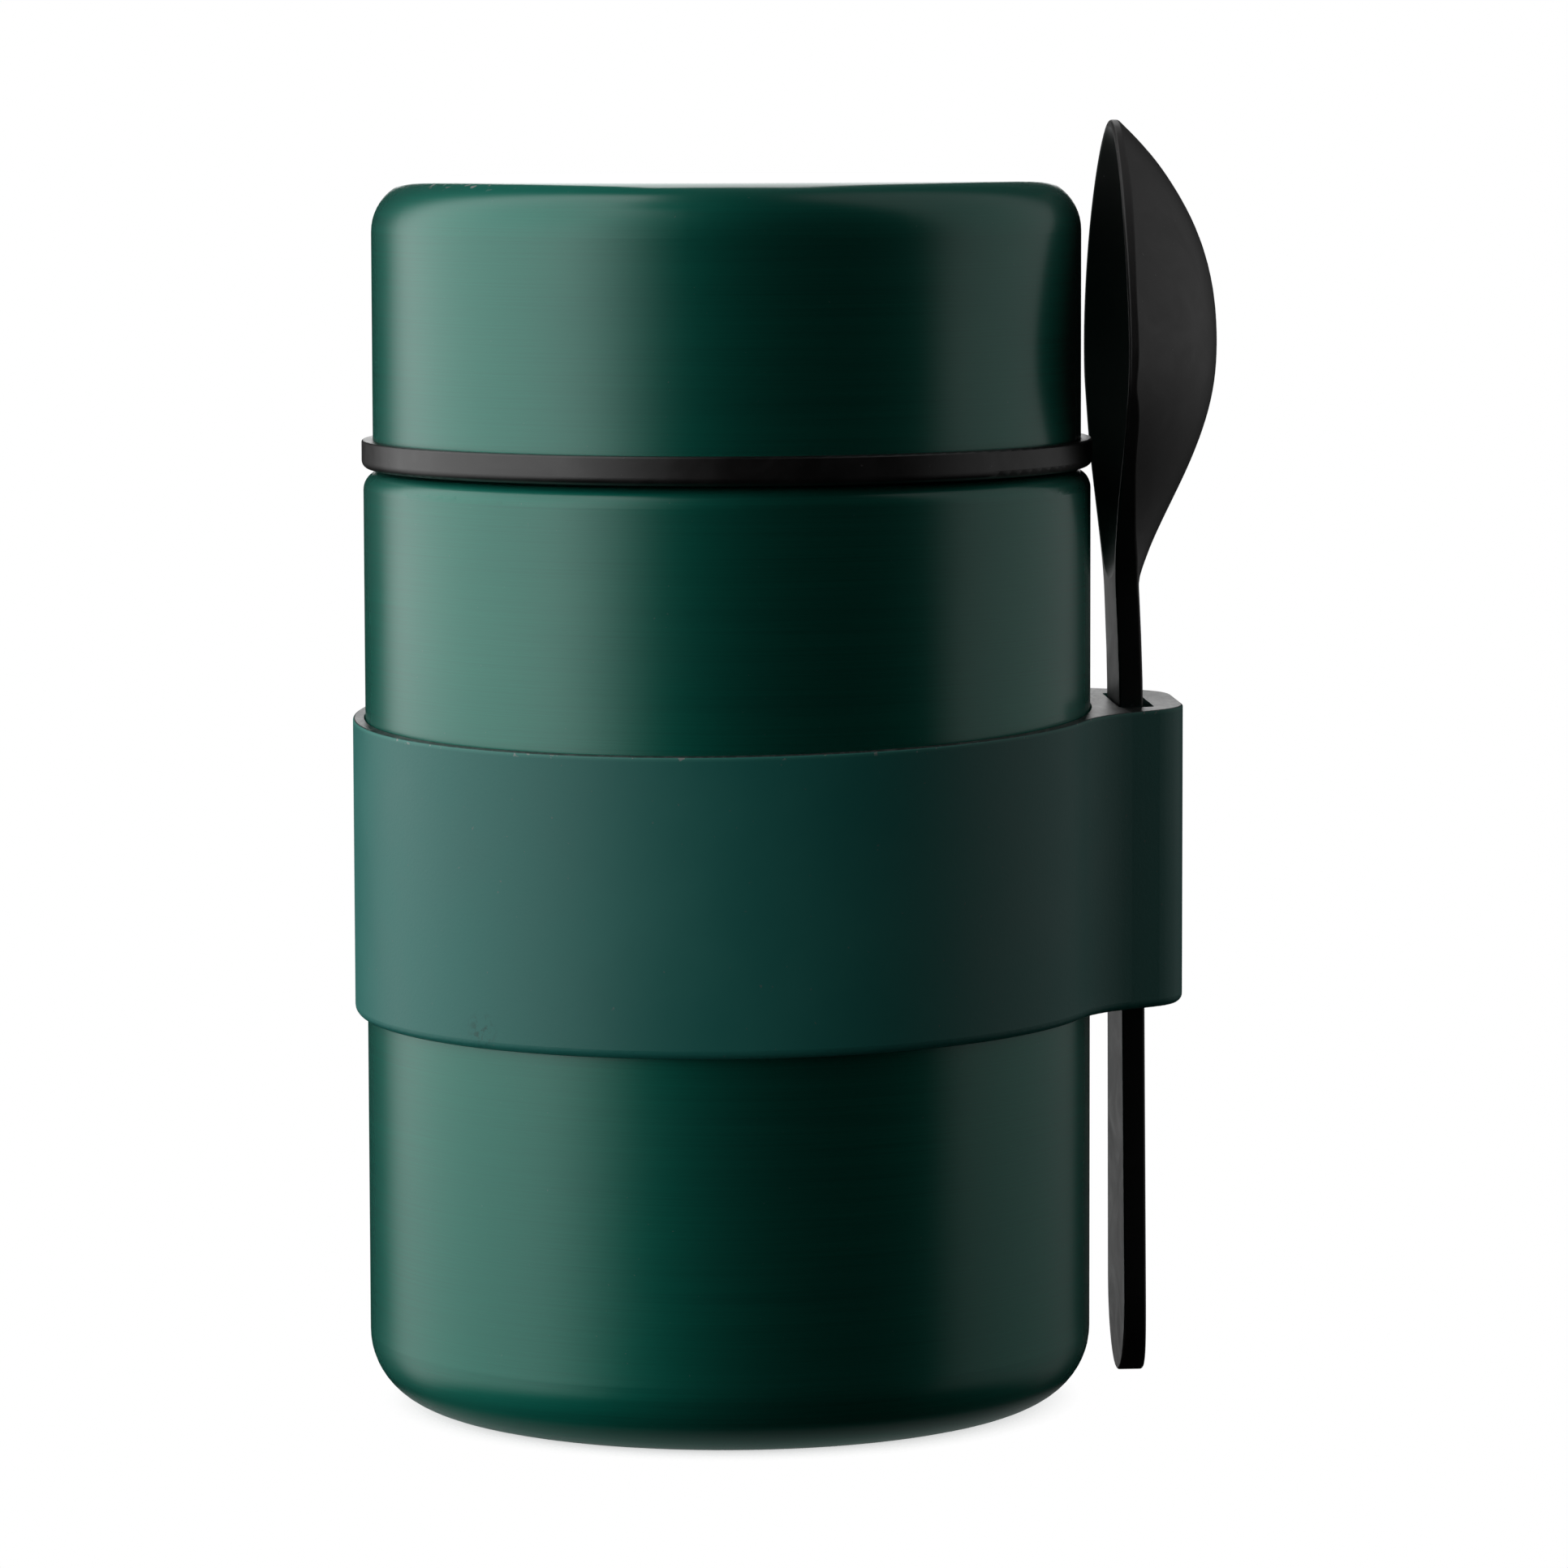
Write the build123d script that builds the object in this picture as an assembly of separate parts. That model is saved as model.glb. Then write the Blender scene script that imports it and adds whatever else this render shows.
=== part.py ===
from build123d import *
import os
from math import pi, sin

# Insulated food jar: a double-walled steel jar with a screw lid, a rubber band round it and a spoon
# in the band's pocket. Millimetres, +Z up. The origin is the centre of the base, on the surface that
# the jar stands on. The spoon is on the +X side.

# ---- driving dimensions ---------------------------------------------------------------------------

# jar body
body_radius = 45.0
shell_wall = 0.6
weld_height = 14.0  # the bottom cup is butt-welded to the shell here
base_corner = 8.9
shoulder_height = 116.1
shoulder_round = 2.3
neck_radius = 39.0
neck_root_round = 1.0
lip_height = 133.0  # top of the jar without its lid
lip_thickness = 0.9
lip_overhang = 0.6  # how far the rolled lip stands past the neck

# underside of the jar
recess_radius = 27.6
recess_depth = 1.2
recess_slope = 1.0  # how far the recess narrows on its way up
recess_round = 0.4
foot_round = 0.8
dimple_radius = 5.6
dimple_depth = 2.0
vent_radius = 0.6
disc_clearance = 0.8
disc_thickness = 0.6
disc_bevel = 0.15
seal_bead_radius = 2.6
seal_bead_height = 1.2

# inner vessel
vessel_wall = 0.5
vessel_radius = 41.1  # inside
mouth_radius = 37.5  # inside
vessel_floor = 9.5
vessel_corner = 12.0
vessel_shoulder = (108.0, 114.5)  # where the vessel starts and stops narrowing
vessel_shoulder_round = 5.0
foil_thickness = 0.15
foil_span = (24.0, 104.0)
getter_radius = 5.0
getter_height = 1.8
getter_offset = 20.0
getter_bevel = 0.4

# lid
lid_radius = 43.8
lid_height = 152.0
lid_corner = 6.5
lid_wall = 0.7
flange_radius = 45.2
flange_bottom = 116.45
flange_top = 119.95
flange_round = 1.0
flange_top_round = 0.25
skirt_gap = 0.25  # between the liner and the metal cap
thread_room = 1.9  # between the plain neck and the liner, for the thread
roof_bottom = 134.6
roof_thickness = 1.8
plug_radius = 36.0  # the part of the liner that dips into the mouth
plug_bottom = 126.2
plug_wall = 1.6
liner_round = 1.5
bead_height = 0.8
bead_reach = 0.7
bead_gap = 0.4  # from the bead up to the lip of the jar
gasket_outer = 40.4
gasket_gap = 0.05

# band
band_radius = 46.55
band_gap = 0.2
band_top = 86.1
band_top_slope = (0.011, 0.031)  # rise per millimetre along X and Y: it was pushed on by hand
band_bottom = 49.1
band_bottom_slope = (0.007, 0.0105)
band_lower_round = 1.1
band_upper_round = 0.25

# pocket on the band, in a frame turned to face the spoon
spoon_azimuth = 5.0
pocket_reach = 56.3
pocket_face_half = 9.0
pocket_root_half = 15.8
pocket_root = 43.5
pocket_corner = 7.0
pocket_blend = 16.0
slot_centre = 50.2
slot_thickness = 4.4
slot_width = 15.7
slot_round = 0.8
cut_reach = 10.0  # how far the cuts through the band go past its upper edge

# spoon, in the same turned frame: radial out, tangential, height
spoon_bottom = 2.1
spoon_top = 159.0
neck_height = 100.0  # the handle ends here and the bowl starts
bowl_widest = 131.0
bowl_half_width = 20.4
width_lead = 0.92  # leads below 1 make a size change sooner above the neck
bowl_depth = 13.7
depth_lead = 0.76
bowl_tip_power = 1.6  # 2 would make the bowl's end an ellipse, less makes it more pointed
tip_fullness = 0.39  # pull of the outline's curve at the bowl's end, for that power
back_tip_power = 2.38
crowned_tip = 2.5  # the back keeps one curvature over this last stretch
bowl_wall = 2.0
neck_thickening = 1.6  # how much thicker the wall is where the bowl meets the neck
rim_thickness = 1.1
edge_lead = 0.7
neck_half_width = 5.4
handle_end_half_width = 7.5
handle_end_height = 10.5  # of the rounded end
handle_thickness = 3.2
handle_edge = 2.95
handle_face = 48.35  # distance of the handle's inner face from the jar's axis, above the band
handle_lean = 0.55  # how much farther out the handle's foot stands
bowl_rim_face = 47.35
rim_drop = (84.0, 118.0)
tip_flick = 0.35
tip_flick_from = 140.0
spoon_back_round = 0.4
spoon_inner_round = 0.3
section_count = 17  # of the sections that the bowl is lofted through
section_margin = 4.0  # how far they reach past the rim
section_overrun = 2.0  # how far above the tip the last one is
side_step = 6  # between the points of the inner side
blank_thickness = 80.0  # of the slab, from the axis outwards, that the spoon is cut from


# ---- shared operations ----------------------------------------------------------------------------


def turned(profile):
    """A closed outline in radius and height, turned about the jar's axis."""
    return revolve(Plane.XZ * profile, Axis.Z)


def drawn_wall(points, radii, thickness, side):
    """A sheet-metal wall: an open outline with rounded corners, thickened to one side and turned."""
    outline = FilletPolyline(*points, radius=radii)
    return turned(make_face(offset(outline, amount=thickness, side=side)))


def turned_ring(inner, outer, bottom, top, corner=0.0):
    """A plain ring of rectangular section, with all four corners rounded."""
    section = Pos((inner + outer) / 2, (bottom + top) / 2) * Rectangle(outer - inner, top - bottom)
    if corner:
        section = fillet(section.vertices(), corner)
    return turned(section)


# ---- jar body -------------------------------------------------------------------------------------


def make_outer_shell():
    """The painted wall, drawn in over the shoulder to the neck."""
    outline = [
        (body_radius, weld_height),
        (body_radius, shoulder_height),
        (neck_radius, shoulder_height),
        (neck_radius, lip_height - lip_thickness),
    ]
    return drawn_wall(outline, [shoulder_round, neck_root_round], shell_wall, Side.LEFT)


def make_bottom_cup():
    """The cup that closes the outer wall, with a recess for the disc and a dimple for the seal."""
    dimple_top = recess_depth + dimple_depth
    outline = [
        (0, dimple_top),
        (dimple_radius - recess_slope, dimple_top),
        (dimple_radius, recess_depth),
        (recess_radius, recess_depth),
        (recess_radius + recess_slope, 0),
        (body_radius, 0),
        (body_radius, weld_height),
    ]
    radii = [0, 0, recess_round, foot_round, base_corner]
    cup = drawn_wall(outline, radii, shell_wall, Side.LEFT)
    vent = Pos(0, 0, dimple_top) * Cylinder(vent_radius, 3 * shell_wall)
    return cup - vent


def make_inner_vessel():
    """The vessel that holds the food, with its lip rolled out over the neck."""
    low, high = vessel_shoulder
    outline = [
        (0, vessel_floor),
        (vessel_radius, vessel_floor),
        (vessel_radius, low),
        (mouth_radius, high),
        (mouth_radius, lip_height - lip_thickness / 2),
    ]
    radii = [vessel_corner, vessel_shoulder_round, vessel_shoulder_round]
    wall = drawn_wall(outline, radii, vessel_wall, Side.RIGHT)
    lip = turned_ring(
        mouth_radius,
        neck_radius + lip_overhang,
        lip_height - lip_thickness,
        lip_height,
        corner=lip_thickness * 0.4,
    )
    return wall + lip


def make_foil_wrap():
    """Bright foil wound tightly round the vessel, which stops radiated heat."""
    inner = vessel_radius + vessel_wall
    return turned_ring(inner, inner + foil_thickness, *foil_span)


def make_getter():
    """A pellet in a shallow holder, fixed under the vessel."""
    top = vessel_floor - vessel_wall
    pellet = Pos(getter_offset, 0, top - getter_height / 2) * Cylinder(getter_radius, getter_height)
    return chamfer(pellet.edges().sort_by(Axis.Z)[0], getter_bevel)


def make_vacuum_seal():
    """A drop of sealing glass under the dimple, over the vent."""
    top = recess_depth + dimple_depth
    drop = Pos(0, 0, top - seal_bead_height / 2) * Cylinder(seal_bead_radius, seal_bead_height)
    return fillet(drop.edges().sort_by(Axis.Z)[0], seal_bead_height * 0.8)


def make_base_disc():
    disc = turned_ring(
        0, recess_radius - disc_clearance, recess_depth - disc_thickness, recess_depth
    )
    return chamfer(disc.edges().sort_by(Axis.Z)[0], disc_bevel)


# ---- lid ------------------------------------------------------------------------------------------


def make_lid_shell():
    """The metal cap, open at the bottom, standing on the liner's flange."""
    outline = [(0, lid_height), (lid_radius, lid_height), (lid_radius, flange_top)]
    return drawn_wall(outline, [lid_corner], lid_wall, Side.RIGHT)


def make_lid_liner():
    """The moulded liner: flange, threaded skirt, roof over the lip and plug in the mouth."""
    skirt_inner = neck_radius + thread_room
    skirt_outer = lid_radius - lid_wall - skirt_gap
    plug_inner = plug_radius - plug_wall
    bead_bottom = lip_height - bead_gap - bead_height
    roof_top = roof_bottom + roof_thickness
    section = Polyline(
        (skirt_inner, flange_bottom),
        (flange_radius, flange_bottom),
        (flange_radius, flange_top),
        (skirt_outer, flange_top),
        (skirt_outer, roof_top),
        (plug_inner, roof_top),
        (plug_inner, plug_bottom + plug_wall),
        (0, plug_bottom + plug_wall),
        (0, plug_bottom),
        (plug_radius, plug_bottom),
        (plug_radius, bead_bottom),
        (plug_radius + bead_reach, bead_bottom + bead_height / 2),
        (plug_radius, bead_bottom + bead_height),
        (plug_radius, roof_bottom),
        (skirt_inner, roof_bottom),
        close=True,
    )
    profile = make_face(section)
    rounds = {
        (flange_radius, flange_bottom): flange_round,
        (flange_radius, flange_top): flange_top_round,
        (skirt_outer, roof_top): liner_round,
        (plug_radius, plug_bottom): liner_round,
    }
    for (radius, height), size in rounds.items():
        corner = profile.vertices().sort_by_distance((radius, height, 0))[0]
        profile = fillet(corner, size)
    return turned(profile)


def make_lid_foam():
    """Foam that fills the lid between the liner and the metal cap."""
    outer = lid_radius - lid_wall - skirt_gap
    top = lid_height - lid_wall - skirt_gap
    roof_top = roof_bottom + roof_thickness
    plug_inner = plug_radius - plug_wall - skirt_gap
    outline = FilletPolyline(
        (0, plug_bottom + plug_wall),
        (plug_inner, plug_bottom + plug_wall),
        (plug_inner, roof_top),
        (outer, roof_top),
        (outer, top),
        (0, top),
        radius=[0, 0, 0, lid_corner - lid_wall],
    )
    return turned(make_face(outline + Line((0, top), (0, plug_bottom + plug_wall))))


def make_lid_seal():
    """The soft ring under the liner's roof, held by the bead on the plug."""
    bottom = lip_height + gasket_gap
    return turned_ring(plug_radius + 0.2, gasket_outer, bottom, roof_bottom - gasket_gap)


# ---- band with its pocket -------------------------------------------------------------------------


def sloped_block(height, slope, above):
    """A big block that ends at one of the band's two sloping edge planes."""
    size = 4 * pocket_reach
    edge_plane = Plane(origin=(0, 0, height), z_dir=(-slope[0], -slope[1], 1))
    align = (Align.CENTER, Align.CENTER, Align.MIN if above else Align.MAX)
    return edge_plane * Box(size, size, size, align=align)


def make_band():
    """An elastic ring that swells into a solid pocket with a slot for the spoon's handle."""
    pocket = make_face(
        Polyline(
            (pocket_root, -pocket_root_half),
            (pocket_reach, -pocket_face_half),
            (pocket_reach, pocket_face_half),
            (pocket_root, pocket_root_half),
            close=True,
        )
    )
    plan = Sketch() + Circle(band_radius) + pocket
    blends = [v for v in plan.vertices() if v.X < band_radius and abs(v.Y) > pocket_face_half]
    plan = fillet(blends, pocket_blend)
    corners = [v for v in plan.vertices() if abs(v.X - pocket_reach) < 0.01]
    plan = fillet(corners, pocket_corner)
    slot = Pos(slot_centre, 0) * RectangleRounded(slot_thickness, slot_width, slot_round)

    block = extrude(Rot(Z=spoon_azimuth) * plan, band_top + cut_reach)
    block -= sloped_block(band_top, band_top_slope, above=True)
    block -= sloped_block(band_bottom, band_bottom_slope, above=False)
    block = fillet(block.faces().sort_by(Axis.Z)[0].edges(), band_lower_round)
    block = fillet(block.faces().sort_by(Axis.Z)[-1].edges(), band_upper_round)
    openings = Sketch() + Circle(body_radius + band_gap) + Rot(Z=spoon_azimuth) * slot
    return block - extrude(openings, band_top + cut_reach)


# ---- spoon ----------------------------------------------------------------------------------------


def swell(height, start, end, lead=1.0):
    """Rises smoothly from 0 at the start height to 1 at the end height."""
    share = min(max((height - start) / (end - start), 0.0), 1.0)
    return sin(pi / 2 * share**lead) ** 2


def tip_share(height):
    """How far a height is up the bowl's narrowing end: 0 where it starts and 1 at the tip."""
    return max(0.0, (height - bowl_widest) / (spoon_top - bowl_widest))


def half_width(height):
    """Half the spoon's width, from the neck to the tip."""
    if height > bowl_widest:
        share = min(tip_share(height), 1.0)
        return bowl_half_width * (1 - share**bowl_tip_power) ** (1 / bowl_tip_power)
    rise = swell(height, neck_height, bowl_widest, width_lead)
    return neck_half_width + (bowl_half_width - neck_half_width) * rise


def depth(height):
    """From the spoon's rim plane to the back of the spoon."""
    if height > bowl_widest:
        end_depth = (bowl_depth - rim_thickness) * (1 - tip_share(height) ** back_tip_power)
        return rim_thickness + end_depth
    rise = swell(height, neck_height, bowl_widest, depth_lead)
    return handle_thickness + (bowl_depth - handle_thickness) * rise


def edge_depth(height):
    """Thickness at the spoon's edge: nearly full in the handle, thin at the rim of the bowl."""
    thinning = swell(height, neck_height, bowl_widest, edge_lead)
    return handle_edge + (rim_thickness - handle_edge) * thinning


def crown(height):
    """How fast the back of the spoon curves away from its middle to its edges."""
    below_tip = min(height, spoon_top - crowned_tip)
    return (depth(below_tip) - edge_depth(below_tip)) / half_width(below_tip) ** 2


def face_radius(height):
    """Distance of the spoon's inner side, which faces the jar, from the jar's axis."""
    drop = (handle_face - bowl_rim_face) * swell(height, *rim_drop)
    flick = tip_flick * max(0.0, (height - tip_flick_from) / (spoon_top - tip_flick_from)) ** 2
    lean = handle_lean * max(0.0, 1 - height / rim_drop[0])
    return handle_face - drop + flick + lean


def curved_block(surface_depth, far_side):
    """A block that ends at a back surface with a parabola at each height, above the handle.

    It lies beyond that surface, or between it and the jar."""
    reach = bowl_half_width + section_margin
    end = 2 * pocket_reach if far_side else -reach
    step = (spoon_top + section_overrun - rim_drop[0]) / (section_count - 1)
    sections = []
    for height in [rim_drop[0] + step * k for k in range(section_count)]:
        middle = face_radius(height) + surface_depth(height)
        fall = crown(height) * reach**2
        back = Bezier((middle - fall, -reach), (middle + fall, 0), (middle - fall, reach))
        sides = Polyline(back @ 1, (end, reach), (end, -reach), back @ 0)
        sections.append(Pos(0, 0, height) * make_face(back + sides))
    return loft(sections), sections[0]


def make_spoon_blank():
    """The spoon's outline seen from the jar, pushed outwards."""
    end_centre = spoon_bottom + handle_end_height
    side = Line((handle_end_half_width, end_centre), (neck_half_width, neck_height))
    rise = [neck_height + (bowl_widest - neck_height) * k / 5 for k in range(6)]
    flank = Spline([(half_width(z), z) for z in rise], tangents=[side % 1, (0, 1)])
    tip = Bezier(
        (bowl_half_width, bowl_widest),
        (bowl_half_width, bowl_widest + tip_fullness * (spoon_top - bowl_widest)),
        (tip_fullness * bowl_half_width, spoon_top),
        (0, spoon_top),
    )
    end = EllipticalCenterArc(
        (0, end_centre), handle_end_half_width, handle_end_height, start_angle=180, arc_size=180
    )
    half = side + flank + tip
    outline = half + mirror(half, Plane.YZ) + end
    # the outline's width runs along Y and its height along Z
    plane = Plane(origin=(0, 0, 0), x_dir=(0, 1, 0), z_dir=(1, 0, 0))
    return extrude(plane * make_face(outline), blank_thickness)


def jar_side_block():
    """Everything between the jar's axis and the spoon's inner side, a smooth line in side view."""
    low = rim_drop[0]
    heights = range(int(low), int(spoon_top) + side_step, side_step)
    lower = Line((face_radius(0), 0), (face_radius(low), low))
    flick_slope = (2 * tip_flick, spoon_top - tip_flick_from)
    upper = Spline([(face_radius(z), z) for z in heights], tangents=[lower % 1, flick_slope])
    rest = Polyline(upper @ 1, (0, (upper @ 1).Y), (0, 0), lower @ 0)
    half_block = bowl_half_width + section_margin
    return extrude(Plane.XZ * make_face(lower + upper + rest), half_block, both=True)


def hollow_depth(height):
    """Depth of the bowl's hollow, which runs out above the neck."""
    thickening = neck_thickening * (1 - swell(height, neck_height, bowl_widest, depth_lead))
    return depth(height) - bowl_wall - thickening


def lengthwise_edges(spoon, on_back):
    """The edges that run along the spoon, either on its back or on its inner side."""
    chosen = []
    for edge in spoon.edges():
        places = [edge @ share for share in (0, 0.5, 1)]
        middle = places[1]
        is_in_middle = max(abs(place.Y) for place in places) < 0.01
        is_across = edge.length < 3 or abs(middle.Z - rim_drop[0]) < 0.1
        is_behind = middle.X > face_radius(middle.Z) + 0.5
        if not is_in_middle and not is_across and is_behind == on_back:
            chosen.append(edge)
    return chosen


def make_spoon():
    """Bowl and handle in one moulding: a curved back, a flat inner side and a hollow bowl."""
    behind_bowl, lowest = curved_block(depth, far_side=True)
    behind_handle = extrude(lowest, rim_drop[0], dir=(handle_lean / rim_drop[0], 0, -1))
    spoon = make_spoon_blank() - jar_side_block() - behind_bowl - behind_handle
    hollow, _ = curved_block(hollow_depth, far_side=False)
    spoon -= hollow
    spoon = fillet(lengthwise_edges(spoon, on_back=True), spoon_back_round)
    spoon = fillet(lengthwise_edges(spoon, on_back=False), spoon_inner_round)
    return Rot(Z=spoon_azimuth) * spoon


# ---- all pieces, each in its own file -------------------------------------------------------------

pieces = {
    "outer_shell": make_outer_shell,
    "bottom_cup": make_bottom_cup,
    "base_disc": make_base_disc,
    "inner_vessel": make_inner_vessel,
    "foil_wrap": make_foil_wrap,
    "getter": make_getter,
    "vacuum_seal": make_vacuum_seal,
    "lid_shell": make_lid_shell,
    "lid_liner": make_lid_liner,
    "lid_foam": make_lid_foam,
    "lid_seal": make_lid_seal,
    "band": make_band,
    "spoon": make_spoon,
}

os.makedirs("parts", exist_ok=True)
for name, make in pieces.items():
    export_step(make(), f"parts/{name}.step")
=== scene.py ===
from math import cos, pi, radians, sin

import bmesh
import bpy
from mathutils import Matrix, Vector


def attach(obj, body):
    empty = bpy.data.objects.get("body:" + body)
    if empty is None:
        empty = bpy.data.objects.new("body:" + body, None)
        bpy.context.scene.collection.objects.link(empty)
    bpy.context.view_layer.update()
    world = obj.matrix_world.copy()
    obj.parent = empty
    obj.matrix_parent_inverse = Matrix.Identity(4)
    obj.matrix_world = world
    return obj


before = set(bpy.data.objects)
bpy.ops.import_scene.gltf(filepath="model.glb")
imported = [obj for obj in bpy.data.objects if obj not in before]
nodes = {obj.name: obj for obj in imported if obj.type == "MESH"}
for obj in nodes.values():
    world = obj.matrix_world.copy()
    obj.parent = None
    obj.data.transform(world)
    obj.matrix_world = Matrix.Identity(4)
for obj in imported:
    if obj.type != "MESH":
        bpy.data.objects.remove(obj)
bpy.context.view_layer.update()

# Sizes are in metres, as in the CAD model: the jar's axis is Z, its base is at z = 0, and the spoon
# stands on the side of +X.

# ---- camera ---------------------------------------------------------------------------------------

CAMERA_DISTANCE = 0.86718
CAMERA_HEIGHT = 0.16382
CAMERA_YAW = 0.0080
CAMERA_PITCH = 0.1000
CAMERA_ROLL = -0.0028
CAMERA_LENS = 160.78
SENSOR_WIDTH = 36.0


def make_camera():
    """The photograph's long-lens view, a little above the lid and looking slightly down."""
    level = Vector((sin(CAMERA_YAW), cos(CAMERA_YAW), 0))
    side = Vector((cos(CAMERA_YAW), -sin(CAMERA_YAW), 0))
    above = Vector((0, 0, 1))
    forward = level * cos(CAMERA_PITCH) - above * sin(CAMERA_PITCH)
    up = above * cos(CAMERA_PITCH) + level * sin(CAMERA_PITCH)
    right = side * cos(CAMERA_ROLL) + up * sin(CAMERA_ROLL)
    up = up * cos(CAMERA_ROLL) - side * sin(CAMERA_ROLL)
    data = bpy.data.cameras.new("camera")
    data.lens = CAMERA_LENS
    data.sensor_width = SENSOR_WIDTH
    data.clip_start = 0.01
    data.clip_end = 20
    camera = bpy.data.objects.new("camera", data)
    turn = Matrix((right, up, -forward)).transposed().to_4x4()
    camera.matrix_world = Matrix.Translation((0, -CAMERA_DISTANCE, CAMERA_HEIGHT)) @ turn
    bpy.context.scene.collection.objects.link(camera)
    bpy.context.scene.camera = camera


make_camera()

# ---- node helpers ---------------------------------------------------------------------------------

NOISE_LOW, NOISE_HIGH = 0.3, 0.7  # most of a noise lies between these
SPOT_RIM = 0.03  # how far over its level a noise is where a spot has its full strength


class Shader:
    """The node tree of a material or of the world, with short calls for the nodes used below."""

    def __init__(self, owner, output="ShaderNodeOutputMaterial"):
        owner.use_nodes = True
        self.owner = owner
        self.tree = owner.node_tree
        self.tree.nodes.clear()
        self.output = self.tree.nodes.new(output)

    def feed(self, socket, value):
        """Links another node's output to a socket, or sets the socket to a plain value."""
        if isinstance(value, bpy.types.NodeSocket):
            self.tree.links.new(value, socket)
        else:
            socket.default_value = value

    def node(self, kind, inputs=None, **settings):
        made = self.tree.nodes.new(kind)
        for name, value in settings.items():
            setattr(made, name, value)
        for name, value in (inputs or {}).items():
            self.feed(made.inputs[name], value)
        return made

    def end_with(self, surface):
        """Ends the tree with its surface, and gives the material or world back."""
        self.feed(self.output.inputs["Surface"], surface)
        return self.owner

    def math(self, operation, *values):
        return self.node("ShaderNodeMath", dict(enumerate(values)), operation=operation).outputs[0]

    def product(self, *factors):
        result = factors[0]
        for factor in factors[1:]:
            result = self.math("MULTIPLY", result, factor)
        return result

    def place(self):
        """The point in the object's own frame, which moves with its body."""
        return self.node("ShaderNodeTexCoord").outputs["Object"]

    def facing(self):
        """The surface's direction in the object's own frame, as x, y and z."""
        return self.parts(self.node("ShaderNodeTexCoord").outputs["Normal"])

    def parts(self, vector):
        split = self.node("ShaderNodeSeparateXYZ", {"Vector": vector})
        return [split.outputs[k] for k in range(3)]

    def vector(self, x, y, z):
        return self.node("ShaderNodeCombineXYZ", {"X": x, "Y": y, "Z": z}).outputs[0]

    def stretch(self, vector, x, y, z):
        made = self.node("ShaderNodeVectorMath", {0: vector, 1: (x, y, z)}, operation="MULTIPLY")
        return made.outputs["Vector"]

    def measure(self, operation, *vectors):
        """A vector operation whose result is a plain number."""
        made = self.node("ShaderNodeVectorMath", dict(enumerate(vectors)), operation=operation)
        return made.outputs["Value"]

    def radius(self, place):
        """Distance from the jar's axis."""
        return self.measure("LENGTH", self.stretch(place, 1, 1, 0))

    def noise(self, vector, scale, detail=2.0, roughness=0.5, distortion=0.0):
        """Noise with a scale in cells per metre, or of cells of the vector where it is stretched."""
        inputs = {
            "Vector": vector,
            "Scale": scale,
            "Detail": detail,
            "Roughness": roughness,
            "Distortion": distortion,
        }
        return self.node("ShaderNodeTexNoise", inputs).outputs["Fac"]

    def spread(self, value, low, high, to_low, to_high):
        """Maps the range low..high of a value to another range, and clamps it there."""
        inputs = {"Value": value, 1: low, 2: high, 3: to_low, 4: to_high}
        return self.node("ShaderNodeMapRange", inputs, clamp=True).outputs[0]

    def vary(self, noise, low, high):
        """Maps a noise to a range."""
        return self.spread(noise, NOISE_LOW, NOISE_HIGH, low, high)

    def spots(self, noise, level, strength=1.0):
        """The spots where a noise is over a level: the higher the level, the fewer."""
        return self.spread(noise, level, level + SPOT_RIM, 0, strength)

    def mix(self, share, first, second):
        inputs = {"Factor": share, "A": first, "B": second}
        return self.node("ShaderNodeMix", inputs, data_type="RGBA").outputs["Result"]

    def bump(self, height, depth, strength):
        """A relief with its depth in metres."""
        inputs = {"Height": height, "Distance": depth, "Strength": strength}
        return self.node("ShaderNodeBump", inputs).outputs[0]

    def principled(self, **inputs):
        """Ends the tree with a Principled shader, and gives the material back."""
        named = {name.replace("_", " "): value for name, value in inputs.items()}
        return self.end_with(self.node("ShaderNodeBsdfPrincipled", named).outputs[0])

    def surroundings(self):
        """1 for rays that show what is round the object: to the camera, in gloss and through glass."""
        rays = self.node("ShaderNodeLightPath").outputs
        seen = self.math("MAXIMUM", rays["Is Camera Ray"], rays["Is Glossy Ray"])
        return self.math("MAXIMUM", seen, rays["Is Transmission Ray"])


def new_material(name):
    return Shader(bpy.data.materials.new(name))


def rgb(red, green, blue):
    return (red, green, blue, 1.0)


def grey(level):
    return rgb(level, level, level)


# ---- materials ------------------------------------------------------------------------------------

FINE_LINES = (30, 30, 5200)  # cells of noise per metre: long round the axis, narrow across it
BROAD_LINES = (14, 14, 900)

LACQUER_DARK = rgb(0.004, 0.222, 0.161)
LACQUER_LIGHT = rgb(0.007, 0.296, 0.212)
LACQUER_CLOUD = rgb(0.004, 0.208, 0.163)
LACQUER_SPECK = rgb(0.20, 0.34, 0.30)
LACQUER_CHIP = rgb(0.50, 0.54, 0.52)

LID_TOP = 0.152
LID_EDGE = (LID_TOP - 0.0012, LID_TOP - 0.0006)  # heights at which the rounded edge ends
LID_RIM = (0.0378, 0.0384)  # the same as distances from the axis
LID_POLISH = 0.11  # how much smoother the lacquer is on the flat top than elsewhere
CHIPS_RIGHT = (-0.030, -0.024)  # where the chipped stretch fades out along x
CHIPS_BACK = (-0.010, -0.004)  # and along y

PLASTIC_GLOSS = 0.5
HOLLOW_FACING = (-0.5, -0.2)  # how far along x the hollow of the spoon's bowl faces, towards the jar, where its gloss is turned down as painted shade

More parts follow.
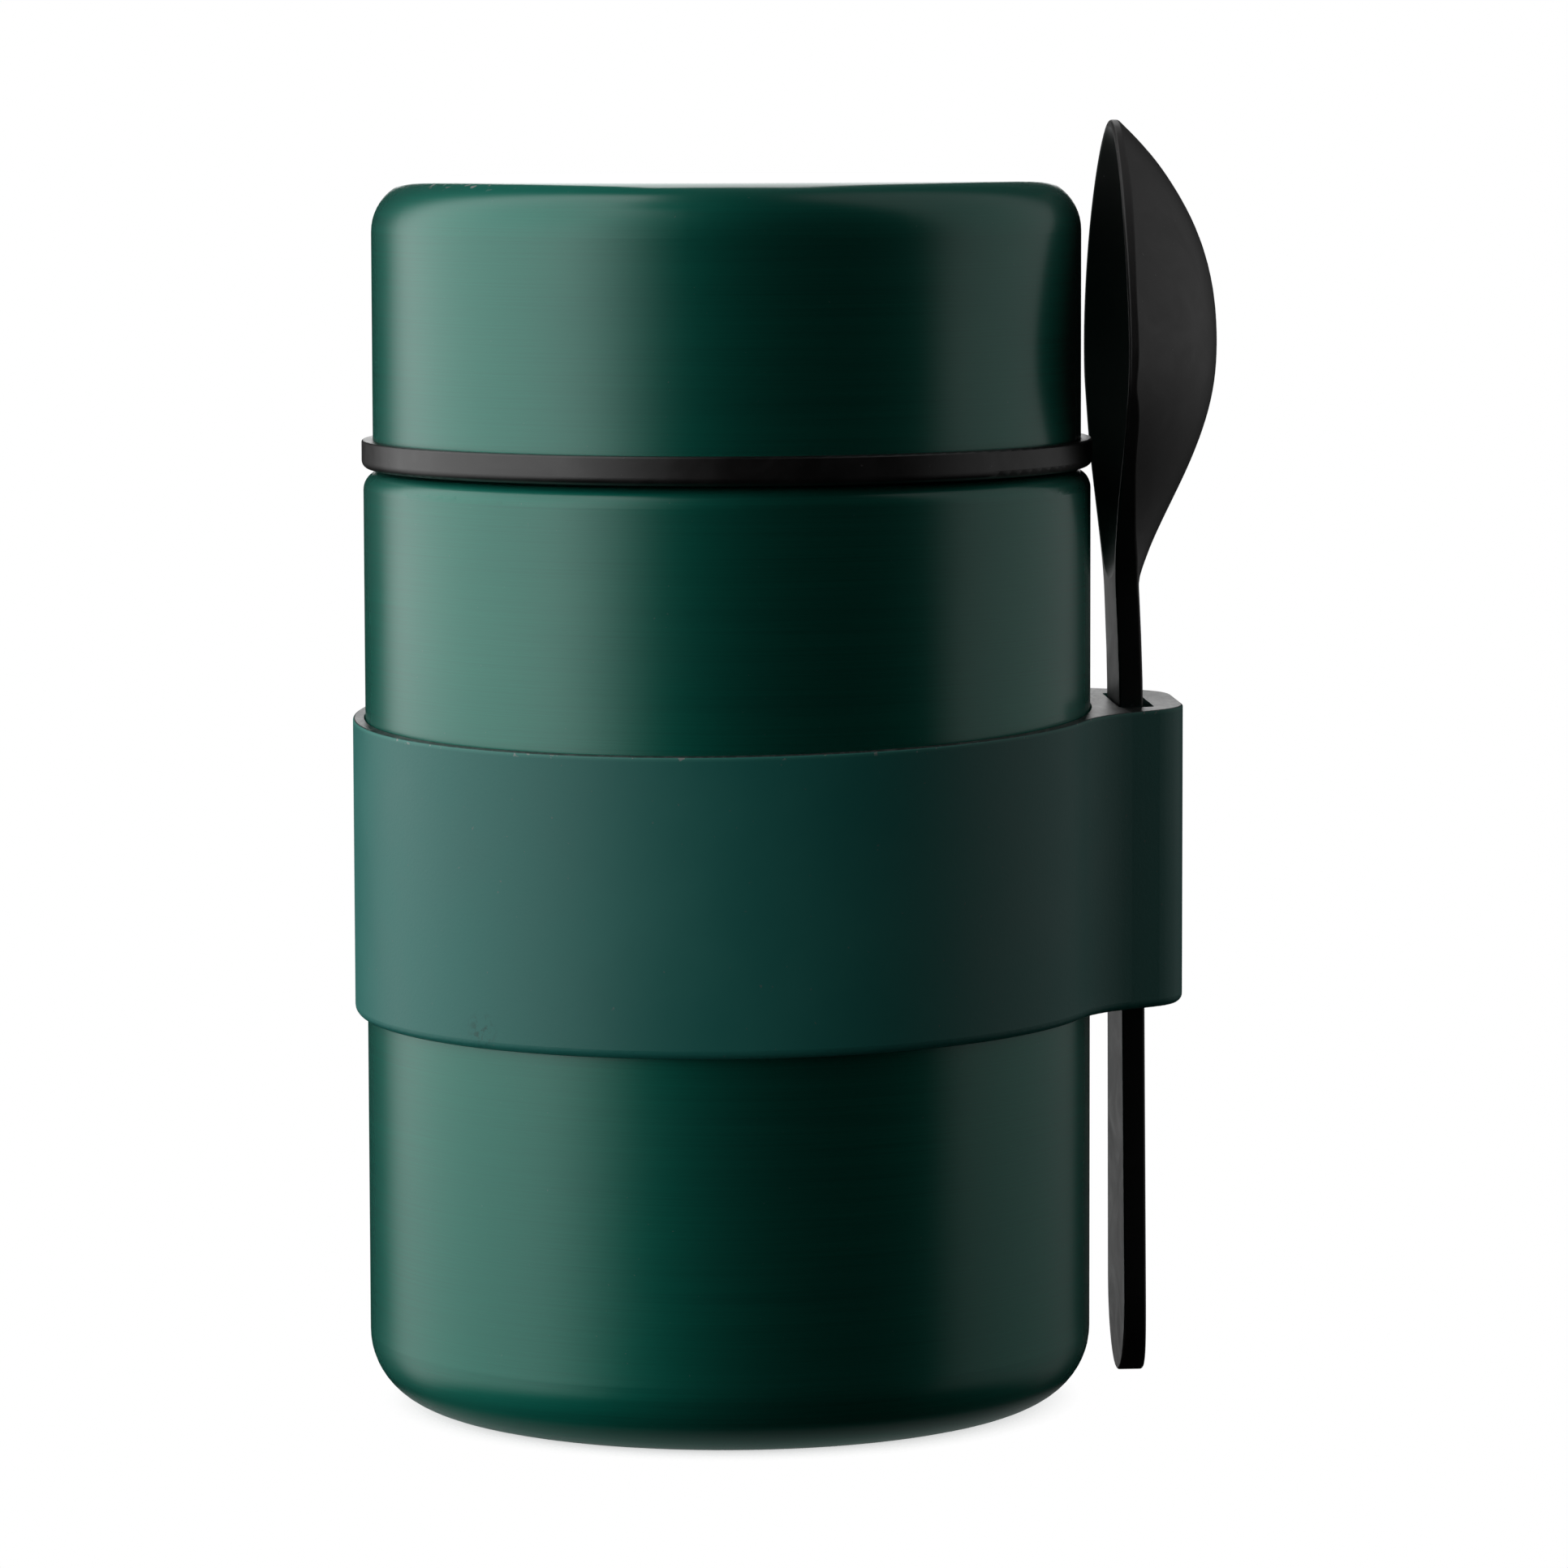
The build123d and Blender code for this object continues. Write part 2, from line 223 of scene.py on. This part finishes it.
BAND_DARK = rgb(0.026, 0.250, 0.215)
BAND_LIGHT = rgb(0.032, 0.272, 0.233)
BAND_DUST = rgb(0.20, 0.26, 0.25)
BAND_SCUFF = rgb(0.012, 0.05, 0.045)
# A paler green painted along the band's top edge as a highlight.
BAND_EDGE_HIGHLIGHT = rgb(0.08, 0.40, 0.33)
BAND_CHIP = rgb(0.40, 0.46, 0.44)
# Grey painted on the band's faces that look up, as a sheen, streaked with cut marks.
BAND_CUT_SHEEN_DARK = rgb(0.040, 0.046, 0.046)
BAND_CUT_SHEEN_LIGHT = rgb(0.13, 0.14, 0.14)

BAND_TOP = 0.0861
BAND_SLOPE = (0.011, 0.031, 0)  # the band's top rises by these shares of x and y
BAND_LIP = (BAND_TOP - 0.00055, BAND_TOP - 0.00030)  # heights at which the painted highlight and the chips of the top edge start
SCUFF_PLACE = (-0.0296, -0.0359, 0.0508)
SCUFF_REACH = (0.0005, 0.0026)


def turned_lines(s, place, fine_share):
    """Lines round the jar's axis, on walls as well as on flat ends: the marks of brushing. Gives the
    fine ones, and their mixture with broad ones."""
    x, y, z = s.parts(place)
    along = s.vector(x, y, s.math("SUBTRACT", z, s.radius(place)))
    fine = s.noise(s.stretch(along, *FINE_LINES), 1.0, 3.0, 0.6)
    broad = s.noise(s.stretch(along, *BROAD_LINES), 1.0)
    both = s.math("ADD", s.product(fine, fine_share), s.product(broad, 1 - fine_share))
    return fine, both


def around_axis(s):
    return s.node("ShaderNodeTangent", direction_type="RADIAL", axis="Z").outputs[0]


def lid_flat(s, place):
    """1 on the lid's flat top, where its rounded edge has ended, and 0 below."""
    return s.spread(s.parts(place)[2], *LID_EDGE, 0, 1)


def lid_chips(s, place):
    """Small chips in the lacquer, on the front left of the lid's upper edge."""
    x, y, z = s.parts(place)
    rim = s.spread(s.radius(place), *LID_RIM, 0, 1)
    left = s.spread(x, *CHIPS_RIGHT, 1, 0)
    front = s.spread(y, *CHIPS_BACK, 1, 0)
    chips = s.spots(s.noise(place, 1000), 0.63)
    return s.product(lid_flat(s, place), rim, left, front, chips)


def green_lacquer(name, lid=False):
    """Clear green lacquer over brushed steel, faintly clouded and specked. The lid's is smoother on
    the flat top, and chipped along its edge."""
    s = new_material(name)
    place = s.place()
    fine, lines = turned_lines(s, place, 0.8)
    clouds = s.noise(place, 45)
    colour = s.mix(s.vary(lines, 0, 1), LACQUER_DARK, LACQUER_LIGHT)
    colour = s.mix(s.spread(clouds, 0.35, 0.7, 0, 0.25), colour, LACQUER_CLOUD)
    colour = s.mix(s.spots(s.noise(place, 2600, 1.0), 0.79, 0.5), colour, LACQUER_SPECK)
    coat_roughness = s.vary(clouds, 0.19, 0.25)
    if lid:
        colour = s.mix(lid_chips(s, place), colour, LACQUER_CHIP)
        polish = s.product(lid_flat(s, place), LID_POLISH)
        coat_roughness = s.math("SUBTRACT", coat_roughness, polish)
    return s.principled(
        Base_Color=colour,
        Metallic=0.92,
        Roughness=s.vary(lines, 0.61, 0.69),
        Normal=s.bump(fine, 0.00002, 0.5),
        Anisotropic=0.4,
        Anisotropic_Rotation=0.25,
        Tangent=around_axis(s),
        Coat_Weight=1.0,
        Coat_Roughness=coat_roughness,
        Coat_IOR=1.75,
        Coat_Normal=s.bump(fine, 0.00001, 0.4),
    )


def satin_plastic(name, colour, grain, roughness, ior, hollow_shade_gloss=None):
    """Moulded black plastic, lightly scuffed and dusty. On the hollow of the spoon's bowl, which faces
    the jar, the gloss can be turned down: painted shade."""
    s = new_material(name)
    place = s.place()
    scuffs = s.noise(place, 130, 4.0, 0.65, 1.5)
    base = s.mix(s.spread(scuffs, 0.45, 0.7, 0, 0.35), colour, rgb(0.03, 0.028, 0.029))
    base = s.mix(s.spots(s.noise(place, 1900, 1.0), 0.78, 0.6), base, grey(0.16))
    gloss = PLASTIC_GLOSS
    # Where the hollow faces the jar, its gloss is lowered as painted shade.
    if hollow_shade_gloss is not None:
        gloss = s.spread(s.facing()[0], *HOLLOW_FACING, hollow_shade_gloss, PLASTIC_GLOSS)
    return s.principled(
        Base_Color=base,
        Specular_IOR_Level=gloss,
        Roughness=s.vary(scuffs, roughness, roughness + 0.1),
        Normal=s.bump(s.noise(place, grain, 3.0, 0.6), 0.00002, 0.4),
        IOR=ior,
    )


def silicone_skin(s, place):
    """The fine grain that every silicone part has."""
    return s.bump(s.noise(place, 2400, 2.0, 0.6), 0.00003, 0.5)


def soft_rubber(name, colour, pale, roughness):
    """Matte silicone with faint clouds and some dust."""
    s = new_material(name)
    place = s.place()
    clouds = s.noise(place, 60, 3.0, 0.55)
    base = s.mix(s.spread(clouds, 0.35, 0.7, 0, 1), colour, pale)
    base = s.mix(s.spots(s.noise(place, 1500, 1.0), 0.77, 0.4), base, grey(0.2))
    return s.principled(
        Base_Color=base,
        Roughness=s.vary(clouds, roughness, roughness + 0.08),
        Normal=silicone_skin(s, place),
        IOR=1.45,
    )


def band_silicone(name):
    """The band's green silicone: a painted highlight along its chipped upper edge, a painted grey sheen
    with cut streaks on the faces that look up, and a scuff.
    """
    s = new_material(name)
    place = s.place()
    clouds = s.noise(place, 60, 3.0, 0.55)
    base = s.mix(s.spread(clouds, 0.35, 0.7, 0, 1), BAND_DARK, BAND_LIGHT)
    base = s.mix(s.spots(s.noise(place, 1500, 1.0), 0.77, 0.6), base, BAND_DUST)

    scuff = s.spread(s.measure("DISTANCE", place, SCUFF_PLACE), *SCUFF_REACH, 0.55, 0)
    marks = s.spread(s.noise(place, 1300, 3.0, 0.6), 0.50, 0.60, 0, 1)
    base = s.mix(s.product(scuff, marks), base, BAND_SCUFF)

    level = s.math("SUBTRACT", s.parts(place)[2], s.measure("DOT_PRODUCT", place, BAND_SLOPE))
    edge = s.spread(level, *BAND_LIP, 0, 1)
    # A painted highlight along the top edge, in a paler green; the chips below are real wear.
    base = s.mix(s.product(edge, 0.55), base, BAND_EDGE_HIGHLIGHT)
    base = s.mix(s.product(edge, s.spots(s.noise(place, 1000), 0.66)), base, BAND_CHIP)

    # Faces that look up get a painted grey sheen, streaked with cut marks.
    streaks = s.noise(s.stretch(place, 900, 260, 1), 1.0, 3.0, 0.6, 0.8)
    cut_sheen = s.mix(s.spread(streaks, 0.45, 0.65, 0, 1), BAND_CUT_SHEEN_DARK, BAND_CUT_SHEEN_LIGHT)
    base = s.mix(s.spread(s.facing()[2], 0.6, 0.95, 0, 1), base, cut_sheen)
    return s.principled(
        Base_Color=base,
        Roughness=s.vary(clouds, 0.40, 0.48),
        Normal=silicone_skin(s, place),
        IOR=1.59,
    )


def bare_steel(name):
    """Steel brushed round the axis, as inside the jar."""
    s = new_material(name)
    fine, lines = turned_lines(s, s.place(), 0.5)
    return s.principled(
        Base_Color=s.mix(s.vary(lines, 0, 1), rgb(0.50, 0.49, 0.47), rgb(0.60, 0.59, 0.57)),
        Metallic=1.0,
        Roughness=s.vary(lines, 0.24, 0.36),
        Normal=s.bump(fine, 0.00002, 0.4),
        Anisotropic=0.5,
        Anisotropic_Rotation=0.25,
        Tangent=around_axis(s),
    )


def grainy(name, dark, light, scale, depth, roughness, **settings):
    """A surface that is all grain: crumpled foil, pressed powder, foam or glass, by its settings."""
    s = new_material(name)
    grain = s.noise(s.place(), scale, 4.0, 0.6, 0.5)
    return s.principled(
        Base_Color=s.mix(s.spread(grain, 0.35, 0.65, 0, 1), dark, light),
        Roughness=s.vary(grain, roughness, roughness + 0.12),
        Normal=s.bump(grain, depth, 0.8),
        **settings,
    )


body_lacquer = green_lacquer("green_lacquer")
lid_lacquer = green_lacquer("lid_green_lacquer", lid=True)
black_plastic = satin_plastic(
    "black_plastic", rgb(0.0068, 0.006, 0.0064), grain=1800, roughness=0.34, ior=1.85
)
spoon_plastic = satin_plastic(
    "spoon_plastic",
    rgb(0.0220, 0.0208, 0.0210),
    grain=2600,
    roughness=0.42,
    ior=2.1,
    hollow_shade_gloss=0.12,
)
white_silicone = soft_rubber(
    "seal_silicone", rgb(0.50, 0.50, 0.48), rgb(0.58, 0.58, 0.56), roughness=0.45
)
black_silicone = soft_rubber("base_silicone", grey(0.02), grey(0.035), roughness=0.6)
foil = grainy(
    "foil",
    rgb(0.70, 0.70, 0.71),
    rgb(0.88, 0.88, 0.89),
    scale=420,
    depth=0.00012,
    roughness=0.12,
    Metallic=1.0,
)
pressed_powder = grainy(
    "getter_metal",
    rgb(0.26, 0.26, 0.27),
    rgb(0.40, 0.40, 0.41),
    scale=1600,
    depth=0.00006,
    roughness=0.5,
    Metallic=0.9,
)
sealing_glass = grainy(
    "sealing_glass",
    rgb(0.22, 0.25, 0.24),
    rgb(0.30, 0.32, 0.31),
    scale=500,
    depth=0.00002,
    roughness=0.08,
    Transmission_Weight=0.6,
)
foam = grainy(
    "foam",
    rgb(0.66, 0.63, 0.54),
    rgb(0.84, 0.82, 0.74),
    scale=1100,
    depth=0.00015,
    roughness=0.8,
)
finishes = {
    "outer_shell": body_lacquer,
    "bottom_cup": body_lacquer,
    "base_disc": black_silicone,
    "inner_vessel": bare_steel("bare_steel"),
    "foil_wrap": foil,
    "getter": pressed_powder,
    "vacuum_seal": sealing_glass,
    "lid_shell": lid_lacquer,
    "lid_liner": black_plastic,
    "lid_foam": foam,
    "lid_seal": white_silicone,
    "band": band_silicone("band_silicone"),
    "spoon": spoon_plastic,
}
for name, finish in finishes.items():
    for slot in nodes[name].material_slots:
        slot.material = finish

# ---- screw thread ---------------------------------------------------------------------------------

THREAD_LEAD = 0.012
THREAD_STARTS = 3
RIDGE_HEIGHT = 0.0015
RIDGE_FOOT, RIDGE_CREST = 0.0008, 0.0004  # half of a ridge's width where it starts and at its top
RIDGE_STEPS = 48
RIDGE_TAPER = 0.12  # of a ridge's length, at each end

NECK_WALL = 0.0388
NECK_THREAD_BOTTOM = 0.1215
NECK_THREAD_SWEEP = 150  # degrees round the axis
LID_WALL = 0.0411
LID_THREAD_BOTTOM = 0.1195
LID_THREAD_SWEEP = 120


def make_mesh(name, points, faces, material):
    mesh = bpy.data.meshes.new(name)
    mesh.from_pydata(points, [], faces)
    mesh.materials.append(material)
    made = bpy.data.objects.new(name, mesh)
    bpy.context.scene.collection.objects.link(made)
    return made


def make_thread(name, root, crest, sweep, bottom, material):
    """Ridges on a right-handed helix, one for each start, that run out at both ends. They rise from
    the radius of the root to that of the crest, and go round by an angle in degrees."""
    sweep = radians(sweep)
    points, faces = [], []
    for start in range(THREAD_STARTS):
        first = len(points)
        for k in range(RIDGE_STEPS + 1):
            share = k / RIDGE_STEPS
            turn = 2 * pi * start / THREAD_STARTS + sweep * share
            height = bottom + THREAD_LEAD * sweep * share / (2 * pi)
            rise = sin(pi / 2 * min(1.0, share / RIDGE_TAPER, (1 - share) / RIDGE_TAPER))
            top = root + (crest - root) * rise
            section = ((root, -RIDGE_FOOT), (top, -RIDGE_CREST), (top, RIDGE_CREST), (root, RIDGE_FOOT))
            for radius, offset in section:
                points.append((radius * cos(turn), radius * sin(turn), height + offset))
        for k in range(RIDGE_STEPS):
            here, there = first + 4 * k, first + 4 * (k + 1)
            for corner in range(4):
                following = (corner + 1) % 4
                faces.append((here + corner, there + corner, there + following, here + following))
        faces.append((first, first + 1, first + 2, first + 3))
        last = first + 4 * RIDGE_STEPS
        faces.append((last + 3, last + 2, last + 1, last))
    made = make_mesh(name, points, faces, material)
    shape = bmesh.new()
    shape.from_mesh(made.data)
    bmesh.ops.recalc_face_normals(shape, faces=shape.faces)
    shape.to_mesh(made.data)
    shape.free()
    return made


neck_thread = make_thread(
    "neck_thread",
    NECK_WALL,
    NECK_WALL + RIDGE_HEIGHT,
    NECK_THREAD_SWEEP,
    NECK_THREAD_BOTTOM,
    body_lacquer,
)
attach(neck_thread, "jar")
lid_thread = make_thread(
    "lid_thread",
    LID_WALL,
    LID_WALL - RIDGE_HEIGHT,
    LID_THREAD_SWEEP,
    LID_THREAD_BOTTOM,
    black_plastic,
)
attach(lid_thread, "lid")

# ---- studio ---------------------------------------------------------------------------------------

# The jar stands in a ring of upright screens, black or lit, that only it sees, in its gloss. Their
# angles are in degrees from the camera towards +X.

DISC_SIDES = 96
SCREEN_STRIPS = 48

FLOOR_RADIUS = 0.052
FLOOR_GLOW = 0.72
FLOOR_SHADE = (0.034, 0.044)  # the paper is in the shade under the jar
FLOOR_FADE = (0.030, 0.044)  # and is gone at the second of these radii

SCREEN_RADIUS = 1.10
SCREEN_LOW, SCREEN_HIGH = -1.30, 1.50
DISC_RADIUS = SCREEN_RADIUS + 0.05  # of the black discs that close the ring above and below
KEY_LIGHT = (-142, -15)
FILL_LIGHT = (62, 150)
WINDOW = (171, 189)
WINDOW_BOTTOM = 0.157
CARD = (172, 192)
CARD_RADIUS = 0.245
CARD_LOW, CARD_HIGH = -0.06, 0.15

KEY_LEVEL = 1.40
FILL_LEVEL = 0.255
WINDOW_LEVEL = 2.0
CARD_LEVEL = 0.90
WORLD_LEVEL = 0.15

# A softbox leans over the jar at its top, and is cut off near the table.
SOFTBOX = ((SCREEN_RADIUS, SCREEN_LOW), (SCREEN_RADIUS, 1.30), (0.30, 1.47))
SOFTBOX_FADES = (  # each takes its share from one value to another between two heights
    (-0.18, 0.02, 0.45, 1.0),
    (-0.66, -0.40, 0.0, 1.0),
    (0.14, 0.95, 1.0, 0.8),
)
# Each step takes a softbox's share from one value to another between two angles, and leans by the
# last number: (start, end, from, to, lean).
KEY_STEPS = (
    (KEY_LIGHT[0], -120, 0.0, 1.0, 0.0),
    (-118, -82, 1.0, 0.88, 0.0),
    (-56, KEY_LIGHT[1], 1.0, 0.0, 0.8),
)
FILL_STEPS = (
    (FILL_LIGHT[0], 80, 0.0, 1.0, 0.0),
    (132, 148, 1.0, 0.0, 0.0),
)
LEAN_BY_HEIGHT = (-0.24, 0.12, 0.30, -0.06)  # a leaning edge's shift in radians, from low to high
LEAN_BY_RADIUS = (0.25, 0.90, 0.95, 0.0)  # and what is added to it over the jar, from the axis out


def make_disc(name, radius, height, material):
    turns = [2 * pi * k / DISC_SIDES for k in range(DISC_SIDES)]
    points = [(radius * cos(turn), radius * sin(turn), height) for turn in turns]
    return make_mesh(name, points, [tuple(range(DISC_SIDES))], material)


def off_camera(screen):
    screen.visible_camera = False


def make_screen(name, start, end, profile, material):
    """A screen that curves round the jar between two angles. Its profile is a list of (radius,
    height), from the bottom up."""
    points, faces = [], []
    rows = len(profile)
    for k in range(SCREEN_STRIPS + 1):
        angle = radians(start + (end - start) * k / SCREEN_STRIPS)
        for radius, height in profile:
            points.append((radius * sin(angle), -radius * cos(angle), height))
    for k in range(SCREEN_STRIPS):
        for here in range(rows * k, rows * (k + 1) - 1):
            faces.append((here, here + 1, here + rows + 1, here + rows))
    off_camera(make_mesh(name, points, faces, material))


def upright(low, high, radius=SCREEN_RADIUS):
    return ((radius, low), (radius, high))


def floor_paper():
    """White paper that keeps the shadow, is as white as the background and fades out round the jar."""
    s = new_material("floor_paper")
    radius = s.radius(s.place())
    paper = s.node("ShaderNodeBsdfDiffuse", {"Color": grey(0.8)}).outputs[0]
    glow = s.product(s.surroundings(), s.spread(radius, *FLOOR_SHADE, 0, FLOOR_GLOW))
    light = s.node("ShaderNodeEmission", {"Strength": glow}).outputs[0]
    both = s.node("ShaderNodeAddShader", {0: paper, 1: light}).outputs[0]
    clear = s.node("ShaderNodeBsdfTransparent").outputs[0]
    fade = s.spread(radius, *FLOOR_FADE, 0, 1)
    return s.end_with(s.node("ShaderNodeMixShader", {0: fade, 1: both, 2: clear}).outputs[0])


def dark_cloth():
    s = new_material("black_cloth")
    return s.end_with(s.node("ShaderNodeBsdfDiffuse", {"Color": grey(0.006)}).outputs[0])


def softbox_share(s, steps):
    """How bright a softbox is at each place, as a share of its level."""
    place = s.place()
    x, y, z = s.parts(place)
    angle = s.math("ARCTAN2", x, s.product(y, -1.0))
    shift = s.math("ADD", s.spread(z, *LEAN_BY_HEIGHT), s.spread(s.radius(place), *LEAN_BY_RADIUS))
    shares = [s.spread(z, *fade) for fade in SOFTBOX_FADES]
    for start, end, first, last, lean in steps:
        leaning = s.math("MULTIPLY_ADD", shift, lean, angle)
        inputs = {"Value": leaning, 1: radians(start), 2: radians(end), 3: first, 4: last}
        step = s.node("ShaderNodeMapRange", inputs, interpolation_type="SMOOTHSTEP")
        shares.append(step.outputs[0])
    return s.product(*shares)


def lit_cloth(name, level, steps=None):
    """A diffuser lit from behind, evenly or with a softbox's steps."""
    s = new_material(name)
    if steps:
        level = s.product(softbox_share(s, steps), level)
    return s.end_with(s.node("ShaderNodeEmission", {"Strength": level}).outputs[0])


make_disc("floor", FLOOR_RADIUS, 0.0, floor_paper())

black = dark_cloth()
full = upright(SCREEN_LOW, SCREEN_HIGH)
upper = upright(WINDOW_BOTTOM, SCREEN_HIGH)
lower = upright(SCREEN_LOW, WINDOW_BOTTOM)
make_screen("screen_front", KEY_LIGHT[1], FILL_LIGHT[0], full, black)
make_screen("screen_back", FILL_LIGHT[1], WINDOW[1], lower, black)
make_screen("screen_back_right", FILL_LIGHT[1], WINDOW[0], upper, black)
make_screen("screen_back_left", WINDOW[1], KEY_LIGHT[0] + 360, full, black)
off_camera(make_disc("screen_top", DISC_RADIUS, SCREEN_HIGH, black))
off_camera(make_disc("screen_bottom", DISC_RADIUS, SCREEN_LOW, black))
make_screen("key_light", *KEY_LIGHT, SOFTBOX, lit_cloth("key_cloth", KEY_LEVEL, KEY_STEPS))
make_screen("fill_light", *FILL_LIGHT, SOFTBOX, lit_cloth("fill_cloth", FILL_LEVEL, FILL_STEPS))
make_screen("window", *WINDOW, upper, lit_cloth("window_cloth", WINDOW_LEVEL))
card = upright(CARD_LOW, CARD_HIGH, CARD_RADIUS)
make_screen("back_card", *CARD, card, lit_cloth("card_cloth", CARD_LEVEL))


def make_world():
    """White where the surroundings show, and a low even light on everything else."""
    world = bpy.data.worlds.new("studio")
    bpy.context.scene.world = world
    s = Shader(world, "ShaderNodeOutputWorld")
    white = s.node("ShaderNodeBackground", {"Color": grey(1), "Strength": 1.0}).outputs[0]
    fill = s.node("ShaderNodeBackground", {"Color": grey(1), "Strength": WORLD_LEVEL}).outputs[0]
    inputs = {0: s.surroundings(), 1: fill, 2: white}
    s.end_with(s.node("ShaderNodeMixShader", inputs).outputs[0])


make_world()
bpy.context.scene.view_settings.view_transform = "Standard"
